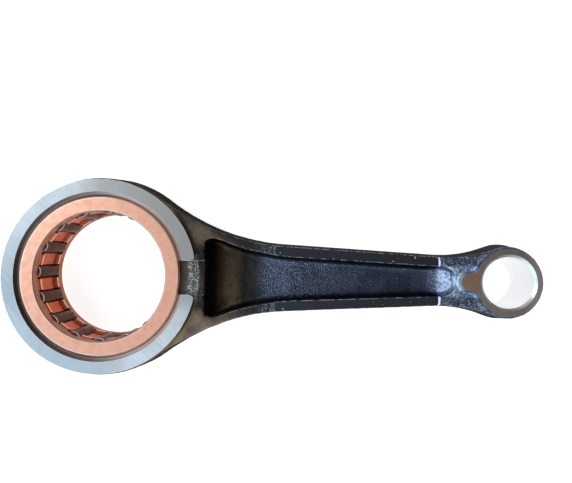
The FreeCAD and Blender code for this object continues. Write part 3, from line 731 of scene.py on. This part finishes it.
def turned_material(colours):
    """Small end's machined face and tongue: brown-grey steel, greyer on the ring, with a painted
    highlight where the lands' cutter ran out."""
    material, tree, shader = new_material("turned_face", Metallic=1.0)
    place = placed(tree, "place")
    lines = scratched(tree, place, 1.2, 0.9)
    run_out, ring, far_side = (94.0, 93.0), (100.5, 103.5), (113.0, 118.0)
    tone = two_shades(tree, lines["Tone"], colours.turned, 0.85, 1.12)
    # Painted highlight on the run-out slope, which faces -X.
    tone = covered(tree, tone, between(tree, place["Along"], *run_out), (0.60, 0.56, 0.72))
    tone = covered(tree, tone, between(tree, place["Along"], *ring), (0.285, 0.275, 0.262), 0.8)
    tone = covered(tree, tone, between(tree, place["Along"], *far_side), (0.52, 0.51, 0.51), 0.7)
    # Worn edges with painted edge highlights.
    tone = covered(tree, tone, worn_and_glinting_edges(tree, place, 0.00025, 1.4, 0.55), (0.82, 0.80, 0.78), 0.8)
    wire(tree, shader, tone, between(tree, lines["Tone"], 0.0, 1.0, 0.36, 0.48),
         bump(tree, lines["Height"], 0.000008, 0.8))
    return material


def bored_material(colours):
    """Bores and chamfers: bright steel with fine lines round the bore, darker brown round the eye, most
    on its -X side.
    """
    material, tree, shader = new_material("bored_steel", Metallic=1.0)
    place = placed(tree, "place")
    rings = add_node(tree, "CombineXYZ", {2: place["Height"]}).outputs[0]
    lines = noise_value(tree, rings, 5.0, 4.0, 0.7)
    tone = two_shades(tree, between(tree, lines, 0.3, 0.7), colours.bored, 0.85, 1.10)
    eye = times(tree, between(tree, place["Big Radius"], 24.0, 22.8),
                between(tree, place["Along"], 12.0, -4.0, 0.25, 0.92))
    tone = covered(tree, tone, eye, (0.19, 0.135, 0.125))
    wire(tree, shader, tone, between(tree, lines, 0.3, 0.7, 0.18, 0.30),
         bump(tree, lines, 0.000008, 0.6))
    return material


def slot_material(colours):
    """Oil slot: smooth and dark beside the bore, then rough, grey and pitted, and dark again where
    it leaves the ground ring."""
    material, tree, shader = new_material("slot_floor", Metallic=1.0)
    place = placed(tree, "place")
    skin = placed(tree, "forged_skin", {"Place": place["Place"], "Scale": 1.1, "Specks": 0.95})
    past_step, past_ring = (23.1, 23.7), (25.9, 26.6)
    outer = between(tree, place["Big Radius"], *past_step)
    tone = mixed(tree, outer, solid_colour((0.115, 0.095, 0.082)), solid_colour((0.095, 0.098, 0.092)))
    tone = covered(tree, tone, times(tree, skin["Specks"], outer), (0.56, 0.58, 0.55), 0.8)
    tone = mixed(tree, between(tree, place["Big Radius"], *past_ring), tone,
                 solid_colour(colours.scale_black, 1.6))
    wire(tree, shader, tone, between(tree, skin["Mottle"], 0.3, 0.7, 0.4, 0.6),
         bump(tree, skin["Height"], 0.00014))
    return material


def copper_material(colours, sizes):
    """Satin copper plate, mottled on its faces, with painted highlights at its rims and on the bars'
    noses, and painted shade in orange-red and brown on its inner faces.
    """
    material, tree, shader = new_material("copper_plate", Metallic=1.0)
    place = placed(tree, "place")
    around, level = place["Big Radius"], unsigned(tree, place["Height"])
    bore, outside, face = sizes.ring_bore / MM, CAGE_RADIUS / MM, CAGE_Z / MM
    nose_top, nose_foot = sizes.nose_top / MM, sizes.nose_foot / MM
    pocket_end = (ROLLER_HALF + sizes.pocket_end) / MM
    rim_highlight_tone, spot_brown, ring_wall_shade, nose_highlight = ((1.0, 0.90, 0.82), (0.50, 0.24, 0.16),
                                                    (0.30, 0.105, 0.060), (0.92, 0.40, 0.25))
    mottle = noise_value(tree, place["Place"], 0.55, 6.0, 0.65)
    tone = two_shades(tree, between(tree, mottle, 0.38, 0.66), colours.copper, 1.0, 0.88)
    spots = between(tree, noise_value(tree, place["Place"], 1.3, 2.0), 0.68, 0.74)
    tone = covered(tree, tone, spots, spot_brown, 0.5)
    # Worn edges with painted edge highlights.
    tone = covered(tree, tone, worn_and_glinting_edges(tree, place, 0.00020, 0.4, 0.75), (1.0, 0.86, 0.76), 0.7)
    # Painted highlights on the outer rim, most on the -X side, and on the inner lip, most on the +X
    # side.
    rim = times(tree, between(tree, around, outside - 0.62, outside - 0.48),
                between(tree, place["Along"], 8.0, -6.0, 0.15, 0.9))
    lip = times(tree, between(tree, around, bore + 0.38, bore + 0.26),
                between(tree, place["Along"], -8.0, 2.0, 0.0, 0.8))
    tone = covered(tree, tone, maths(tree, "MAXIMUM", rim, lip), rim_highlight_tone)
    # Painted shade on the inner faces, in orange-red by the bars and brown in the end rings.
    below = times(tree, between(tree, level, face - 0.35, face - 0.5),
                  between(tree, around, outside - 0.8, outside - 1.0))
    inside = maths(tree, "MAXIMUM", below, between(tree, around, bore + 0.12, bore - 0.05))
    deep = mixed(tree, between(tree, level, pocket_end - 0.3, pocket_end + 0.1),
                 solid_colour(colours.copper_shade_inside), solid_colour(ring_wall_shade))
    # Painted highlight on the bars' noses.
    nose = times(tree, between(tree, level, nose_foot - 0.98, nose_foot - 0.08),
                 between(tree, level, nose_top + 0.72, nose_top + 0.22))
    tone = mixed(tree, inside, tone, covered(tree, deep, nose, nose_highlight, 0.8))
    grain = noise_value(tree, place["Place"], 3.2, 4.0, 0.6)
    wire(tree, shader, tone, between(tree, mottle, 0.35, 0.68, 0.34, 0.50),
         bump(tree, grain, 0.00003, 0.7))
    return material


def roller_material(colours):
    """Hardened roller under a brown oil film, paler towards its ends, with a painted highlight where
    they are rounded."""
    material, tree, shader = new_material("roller_steel", Metallic=1.0,
                                          Specular_Tint=(0.72, 0.62, 0.58, 1.0))
    place = placed(tree, "place")
    film = noise_value(tree, place["Place"], 0.5, 3.0)
    level, end = unsigned(tree, place["Height"]), ROLLER_HALF / MM
    tone = two_shades(tree, between(tree, film, 0.35, 0.65), colours.roller, 1.0, 0.8)
    tone = toned(tree, tone, between(tree, level, end - 1.68, end - 0.48), (1.5, 1.5, 1.5))
    # Painted highlight on the rounded ends.
    rim = times(tree, between(tree, level, end - 0.62, end - 0.46),
                between(tree, level, end - 0.14, end - 0.30))
    tone = covered(tree, tone, rim, (0.75, 0.70, 0.66))
    wire(tree, shader, tone, between(tree, film, 0.35, 0.65, 0.24, 0.36))
    return material


# ---------------------------------------------------------------- the forged rod

def forging_blank(sizes):
    """The rod before machining: its node's shape with stock on every machined face."""
    blank = mesh_object("rod_forging", frame["nodes"][ROD].data.copy())
    work = bmesh.new()
    work.from_mesh(blank.data)
    bmesh.ops.remove_doubles(work, verts=work.verts, dist=0.001 * MM)
    work.to_mesh(blank.data)
    work.free()
    places = rows(blank.data.vertices, "co")
    x, y, tall = places[:, 0], places[:, 1], np.abs(places[:, 2])
    way = np.sign(places[:, 2])
    edge, slack, touch = 0.4 * MM, 0.1 * MM, 0.01 * MM
    big = (np.hypot(x, y) < sizes.thrust_radius + edge) & (tall > THRUST_Z - edge)
    small = (x > SMALL_X - 2 * sizes.small_face) & (tall > GUDGEON_Z - edge)
    land = (np.abs(tall - sizes.land_height) < touch) & (x > sizes.land_start - slack)
    land &= x < sizes.land_stop + slack
    for where, stock in ((big, sizes.stock), (small, sizes.stock), (land, sizes.land_depth)):
        places[where, 2] += way[where] * stock
    move_to(blank.data, places)
    plugs, big_inset, small_wall = [], 0.02 * MM, 1.5 * MM
    for centre, radius, top in ((0.0, sizes.thrust_radius - big_inset, THRUST_Z),
                                (SMALL_X, SMALL_BORE + small_wall, GUDGEON_Z)):
        top += sizes.stock
        plugs.append(lathe("plug", [(0, -top), (radius, -top), (radius, top), (0, top)], 256,
                           (centre, 0.0)))
    join(blank, plugs)
    step = blank.modifiers.new("grain", "REMESH")
    step.mode, step.voxel_size = "VOXEL", sizes.grain
    settle(blank)
    step = blank.modifiers.new("soften", "SMOOTH")
    step.factor, step.iterations = 0.5, 5
    return settle(blank)


def forge_skin(blank, sizes):
    """Press the rough skin of a drop forging into the blank, always inwards from its true shape."""
    mesh = blank.data
    places = rows(mesh.vertices, "co")
    normals = rows(mesh.vertices, "normal")
    x, y, tall = places[:, 0] / MM, places[:, 1] / MM, np.abs(places[:, 2]) / MM
    level = np.abs(normals[:, 2])
    big, small = np.hypot(x, y), np.hypot(x - SMALL_X / MM, y)
    # The skin is roughest on the pads beside the small end, and rougher than plain on the web and
    # the shoulders. Stations, radii and depths are in millimetres.
    pads = smooth_step(x, 90.5, 92.5) * smooth_step(small, 8.8, 9.6) * smooth_step(level, 0.3, 0.7)
    web = smooth_step(x, 38, 45) * (1 - smooth_step(x, 60, 88)) * smooth_step(level, 0.6, 0.9)
    shoulder = smooth_step(big, 26.2, 27.0) * (1 - smooth_step(x, 40, 50))
    fine = 0.035 + 0.13 * pads + 0.03 * web + 0.03 * shoulder
    slow = 0.05 + 0.05 * pads + 0.05 * shoulder
    rough = np.array([noise.fractal(Vector(place * 0.9 / MM), 0.8, 2.1, 3) for place in places])
    swell = np.array([noise.noise(Vector(place * 0.28 / MM)) for place in places])
    # The trimmed flash stands as a line along the parting plane, because all else is pressed in.
    flash = smooth_step(tall, 0.35, 0.75) * (1 - smooth_step(level, 0.2, 0.5))
    depth = fine * (0.5 + 0.7 * np.clip(rough, -0.7, 0.7)) + slow * (0.5 + 0.5 * swell)
    depth += flash * sizes.flash_depth / MM
    ring_start, ring_top = THRUST_Z / MM - 0.8, THRUST_Z / MM
    depth *= 1 - smooth_step(tall, ring_start, ring_top) * level
    move_to(mesh, places - normals * (depth * MM)[:, None])
    return blank


def slot_tools(sizes, way):
    """Cutters for one oil slot: the slot, and the rounding where it leaves the thrust face."""
    half, corner, outside = sizes.slot_width / 2, sizes.slot_corner, sizes.thrust_radius
    low, high = sorted((way * sizes.slot_floor, way * (THRUST_Z + 2 * sizes.stock)))
    plan = [(half, -half), (sizes.slot_end, -half), (sizes.slot_end, half), (half, half)]
    tools = [prism("slot", plan, low, high)]
    low, high = sorted((way * (THRUST_Z - sizes.slot_corner_depth),
                        way * (THRUST_Z + 2 * sizes.stock)))
    rise = half + corner
    run = math.sqrt((outside - corner) ** 2 - rise ** 2)
    facing = math.atan2(rise, run)
    bend = arc((run, rise), corner, -math.pi / 2, facing)
    beyond = [((outside + corner) * math.cos(facing), (outside + corner) * math.sin(facing)),
              (outside + corner, half - corner / 2), (run, half - corner / 2)]
    for side in (1, -1):
        outline = [(px, side * py) for px, py in bend + beyond]
        tools.append(prism("slot_corner", outline, low, high))
    return tools


def land_tool(sizes, way):
    """Cutter for the lands: flat, with round corners and a sloped run-out at each end."""
    start, stop, over = sizes.land_start, sizes.land_stop, 4 * sizes.stock
    splay = over * sizes.land_run_out / sizes.land_depth
    wide, taper = sizes.land_wide, sizes.land_narrow / sizes.land_wide
    start_lean = 0.3

    def outline(extra):
        box = rounded_box(start - start_lean * extra, stop + extra, -wide, wide, sizes.land_corner)
        return [(px, py * np.interp(px, (start, stop), (1.0, taper))) for px, py in box]

    plans = outline(0.0), outline(splay)
    heights = way * sizes.land_height, way * (sizes.land_height + over)
    return prism("land", plans[0], *heights, plans[1])


def rod_tools(sizes):
    """Cutters for everything that is machined on the rod."""
    tools, reach = [], 2 * sizes.thrust_radius
    for way in (1, -1):
        for x0, x1, height in ((-reach, SMALL_X / 2, THRUST_Z),
                               (SMALL_X - 2 * sizes.small_face, SMALL_X + reach, GUDGEON_Z)):
            low, high = sorted((way * height, way * (height + 4 * sizes.stock)))
            tools.append(prism("facing", [(x0, -reach), (x1, -reach), (x1, reach), (x0, reach)],
                               low, high))
        tools.append(land_tool(sizes, way))
        tools += slot_tools(sizes, way)
    for centre, radius, chamfer, face in ((0.0, EYE_RADIUS, sizes.eye_chamfer, THRUST_Z),
                                          (SMALL_X, SMALL_BORE, sizes.small_chamfer, GUDGEON_Z)):
        top = face + sizes.stock
        half = [(0, top), (radius + chamfer + sizes.stock, top), (radius, face - chamfer)]
        profile = half + [(r, -z) for r, z in reversed(half)]
        tools.append(lathe("bore", profile, 360, (centre, 0.0)))
    return tools


def name_finishes(rod, sizes):
    """Give each face the finish of the tool that left it."""
    mesh = rod.data
    centre, normal = rows(mesh.polygons, "center"), rows(mesh.polygons, "normal")
    x, y, tall, lift = centre[:, 0], centre[:, 1], np.abs(centre[:, 2]), np.abs(normal[:, 2])
    flat, near, touch, slack = lift > 0.9995, 0.004 * MM, 0.02 * MM, 0.1 * MM
    big, small = np.hypot(x, y), np.hypot(x - SMALL_X, y)
    half = sizes.slot_width / 2
    in_slot = (np.abs(y) < half + touch) & (x > half) & (x < sizes.slot_end + near)
    forged, ground, milled, turned, bored, slotted = range(6)
    finish = np.full(len(centre), forged)
    faces_back = (lift > 0.80) & (lift < 0.95) & (normal[:, 0] < -0.3)
    finish[(x > sizes.land_stop - slack) & (x < sizes.land_stop + sizes.land_run_out + slack)
           & (tall > sizes.land_height + near) & faces_back] = turned
    finish[in_slot & (tall > sizes.slot_floor - near) & (tall < THRUST_Z - near)] = slotted
    finish[(big < EYE_RADIUS + touch) | (small < SMALL_BORE + touch)] = bored
    for around, radius, chamfer, face in ((big, EYE_RADIUS, sizes.eye_chamfer, THRUST_Z),
                                          (small, SMALL_BORE, sizes.small_chamfer, GUDGEON_Z)):
        cone = np.abs((around - radius) - (tall - (face - chamfer))) < 0.05 * MM
        finish[cone & (around < radius + chamfer) & ~flat] = bored
    finish[flat & (np.abs(tall - THRUST_Z) < near)] = ground
    finish[flat & (np.abs(tall - GUDGEON_Z) < near) & (x > SMALL_X / 2)] = turned
    finish[flat & (np.abs(tall - sizes.land_height) < near) & (x > sizes.land_start)
           & (x < sizes.land_stop)] = milled
    mesh.polygons.foreach_set("material_index", finish.astype(np.int32))
    mesh.update()


class CONROD_OT_forge(bpy.types.Operator):
    """Forge the rod and machine its faces, lands, slots and bores"""
    bl_idname = "conrod.forge"
    bl_label = "Forge and machine the rod"

    def execute(self, context):
        sizes, colours = context.scene.conrod_rod, context.scene.conrod_finish
        rod = forge_skin(forging_blank(sizes), sizes)
        cut(rod, rod_tools(sizes))
        rod.data.materials.clear()
        for maker in (forging_material, ground_material, milled_material, turned_material,
                      bored_material, slot_material):
            rod.data.materials.append(maker(colours))
        name_finishes(rod, sizes)
        finish_faces(rod, 38)
        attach(rod, "rod")
        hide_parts(ROD)
        return {"FINISHED"}


# ---------------------------------------------------------------- the caged roller bearing

def pocket_tool(sizes, angle):
    """Cutter for one pocket: round about its roller, with a straight mouth inside and outside."""
    radius, mouth = ROLLER_RADIUS + sizes.pocket_gap, sizes.mouth / 2
    lip = math.asin(mouth / radius)
    inner, outer = -2 * ROLLER_RADIUS, 2 * ROLLER_RADIUS
    plan = [(inner, -mouth), *arc((0, 0), radius, math.pi + lip, 2 * math.pi - lip, 24),
            (outer, -mouth), (outer, mouth), *arc((0, 0), radius, lip, math.pi - lip, 24),
            (inner, mouth)]
    c, s = math.cos(angle), math.sin(angle)
    turned = [((PITCH + px) * c - py * s, (PITCH + px) * s + py * c) for px, py in plan]
    top = ROLLER_HALF + sizes.pocket_end
    return prism("pocket", turned, -top, top)


class CONROD_OT_cage(bpy.types.Operator):
    """Turn the cage and pierce a pocket for each roller"""
    bl_idname = "conrod.cage"
    bl_label = "Turn and pierce the cage"

    def execute(self, context):
        sizes, colours = context.scene.conrod_cage, context.scene.conrod_finish
        upper = [(CAGE_RADIUS, CAGE_Z - sizes.edge), (CAGE_RADIUS - sizes.edge, CAGE_Z),
                 (sizes.ring_bore + sizes.lip, CAGE_Z), (sizes.ring_bore, CAGE_Z - sizes.lip),
                 (sizes.ring_bore, sizes.nose_top + sizes.ring_bore - sizes.nose_bore),
                 (sizes.nose_bore, sizes.nose_top), (sizes.nose_bore, sizes.nose_foot),
                 (sizes.waist_bore, sizes.nose_foot - sizes.waist_bore + sizes.nose_bore)]
        profile = upper + [(radius, -height) for radius, height in reversed(upper)]
        cage = lathe("cage_plated", profile, 360, phase=sizes.phase, closed=True)
        step = 2 * math.pi / len(ROLLERS)
        cut(cage, [pocket_tool(sizes, sizes.phase + index * step) for index in range(len(ROLLERS))])
        cage.data.materials.clear()
        cage.data.materials.append(copper_material(colours, sizes))
        finish_faces(cage, 25)
        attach(cage, "cage")
        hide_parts(CAGE)
        return {"FINISHED"}


class CONROD_OT_rollers(bpy.types.Operator):
    """Turn the rollers, each in its own pocket"""
    bl_idname = "conrod.rollers"
    bl_label = "Turn the rollers"

    def execute(self, context):
        sizes = context.scene.conrod_rollers
        material = roller_material(context.scene.conrod_finish)
        bend = sizes.end_round
        quarter = arc((ROLLER_RADIUS - bend, ROLLER_HALF - bend), bend, 0, math.pi / 2, 10)
        hollow = 0.45 * ROLLER_RADIUS
        end = [(hollow + sizes.dimple, ROLLER_HALF), (hollow, ROLLER_HALF - sizes.dimple),
               (0, ROLLER_HALF - sizes.dimple)]
        upper = quarter + end
        profile = [(radius, -height) for radius, height in reversed(upper)] + upper
        for name in ROLLERS:
            low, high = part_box(name)
            centre = ((low.x + high.x) / 2, (low.y + high.y) / 2)
            roller = lathe("turned_" + name, profile, sizes.segments, centre)
            roller.data.materials.append(material)
            finish_faces(roller, 30)
            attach(roller, name)
            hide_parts(name)
        return {"FINISHED"}


# ---------------------------------------------------------------- the studio

def floor_material(stage):
    """Plain white floor. It looks lit through, so its shadows stay faint, and it lights the object
    like plain paper."""
    material, tree, shader = new_material("floor_white", Roughness=0.9)
    shader["Base Color"].default_value = solid_colour(stage.floor)
    matt = tree.nodes["Principled BSDF"].outputs[0]
    glow = add_node(tree, "Emission", {"Strength": stage.floor_glow}).outputs[0]
    both = add_node(tree, "AddShader", {0: matt, 1: glow}).outputs[0]
    rays = add_node(tree, "LightPath").outputs
    seen = maths(tree, "MAXIMUM", rays["Is Camera Ray"], rays["Is Glossy Ray"])
    paper = add_node(tree, "MixShader", {0: seen, 1: matt, 2: both})
    tree.links.new(paper.outputs[0], tree.nodes["Material Output"].inputs[0])
    return material


def studio_world():
    """Light from all round: a cool window side at -X, a dim warm room at +X and a plain backdrop."""
    world = bpy.data.worlds.new("studio")
    world.use_nodes = True
    tree = world.node_tree
    tree.nodes.clear()
    way = add_node(tree, "TexCoord").outputs["Generated"]
    parts = add_node(tree, "SeparateXYZ", {0: way}).outputs
    room = ramp(tree, between(tree, parts[0], -1.0, 1.0, smooth=False),
                ((0.0, (0.80, 0.95, 1.10)), (0.20, (0.92, 1.04, 1.16)), (0.30, (0.78, 0.84, 0.89)),
                 (0.42, (0.80, 0.80, 0.80)), (0.48, (0.52, 0.51, 0.51)), (0.66, (0.34, 0.32, 0.30)),
                 (0.80, (0.16, 0.14, 0.13)), (1.0, (0.06, 0.05, 0.05))))
    lean = ramp(tree, between(tree, parts[1], -0.5, 0.5, smooth=False),
                ((0.0, (1.22, 1.32, 1.40)), (0.5, (1.0, 1.0, 1.0)), (1.0, (0.62, 0.56, 0.52))))
    room = mixed(tree, 1.0, room, lean, "MULTIPLY")
    lit = add_node(tree, "Background", {0: room, 1: 1.0}).outputs[0]
    plain = add_node(tree, "Background", {0: (1.0, 1.0, 1.0, 1.0), 1: 1.0}).outputs[0]
    seen = add_node(tree, "LightPath").outputs["Is Camera Ray"]
    both = add_node(tree, "MixShader", {0: seen, 1: lit, 2: plain}).outputs[0]
    add_node(tree, "OutputWorld", {0: both})
    return world


def softbox(name, place, target, size, power, tint):
    """A rectangular area light that faces a target."""
    data = bpy.data.lights.new(name, "AREA")
    data.shape, data.size, data.size_y = "RECTANGLE", size[0], size[1]
    data.energy, data.color = power, tint
    lamp = bpy.data.objects.new(name, data)
    bpy.context.scene.collection.objects.link(lamp)
    lamp.location = place
    lamp.rotation_euler = (Vector(target) - Vector(place)).to_track_quat("-Z", "Y").to_euler()


class CONROD_OT_stage(bpy.types.Operator):
    """Set the floor, the lights and the camera"""
    bl_idname = "conrod.stage"
    bl_label = "Set the stage"

    def execute(self, context):
        stage = context.scene.conrod_stage
        reach, clearance = 1.5, 0.02 * MM
        low = CAD_BOX[0][2] - clearance
        floor = solid("floor", [(-reach, -reach, low), (reach, -reach, low), (reach, reach, low),
                                (-reach, reach, low)], [(0, 1, 2, 3)])
        floor.data.materials.append(floor_material(stage))
        context.scene.world = studio_world()
        middle = (SMALL_X / 2, 0.0, 0.0)
        softbox("window_light", (-0.30, 0.16, 0.34), middle, (0.30, 0.22), 0.7, (0.90, 0.96, 1.0))
        softbox("fill_light", (0.20, -0.30, 0.40), middle, (0.35, 0.25), 0.35, (1.0, 0.97, 0.93))
        data = bpy.data.cameras.new("camera")
        data.lens, data.sensor_width, data.clip_start = stage.lens, 36.0, 5 * MM
        camera = bpy.data.objects.new("camera", data)
        context.scene.collection.objects.link(camera)
        camera.location = (stage.camera_x, stage.camera_y, stage.camera_z)
        camera.rotation_euler = (stage.tilt_x, stage.tilt_y, stage.turn)
        context.scene.camera = camera
        context.scene.view_settings.view_transform = "Standard"
        return {"FINISHED"}


# ---------------------------------------------------------------- the add-on

class CONROD_PT_panel(bpy.types.Panel):
    """Lists the pieces of the connecting rod"""
    bl_idname = "CONROD_PT_panel"
    bl_label = "Connecting rod"
    bl_space_type = "VIEW_3D"
    bl_region_type = "UI"
    bl_category = "Connecting rod"

    def draw(self, context):
        for operator in OPERATORS:
            self.layout.operator(operator.bl_idname)
        for group in SETTINGS:
            box = self.layout.box()
            for name in SETTINGS[group].__annotations__:
                box.prop(getattr(context.scene, group), name)


SETTINGS = {"conrod_rod": RodSettings, "conrod_cage": CageSettings,
            "conrod_rollers": RollerSettings, "conrod_finish": FinishSettings,
            "conrod_stage": StageSettings}
OPERATORS = (CONROD_OT_forge, CONROD_OT_cage, CONROD_OT_rollers, CONROD_OT_stage)


def register():
    """Register the classes and give the scene its settings."""
    for kind in (*SETTINGS.values(), *OPERATORS, CONROD_PT_panel):
        bpy.utils.register_class(kind)
    for name, kind in SETTINGS.items():
        setattr(bpy.types.Scene, name, PointerProperty(type=kind))


def unregister():
    """Take the settings and classes away again."""
    for name in SETTINGS:
        delattr(bpy.types.Scene, name)
    for kind in reversed((*SETTINGS.values(), *OPERATORS, CONROD_PT_panel)):
        bpy.utils.unregister_class(kind)


def main():
    """Make every piece and the stage."""
    register()
    for operator in OPERATORS:
        group, name = operator.bl_idname.split(".")
        getattr(getattr(bpy.ops, group), name)()


if __name__ == "__main__":
    main()
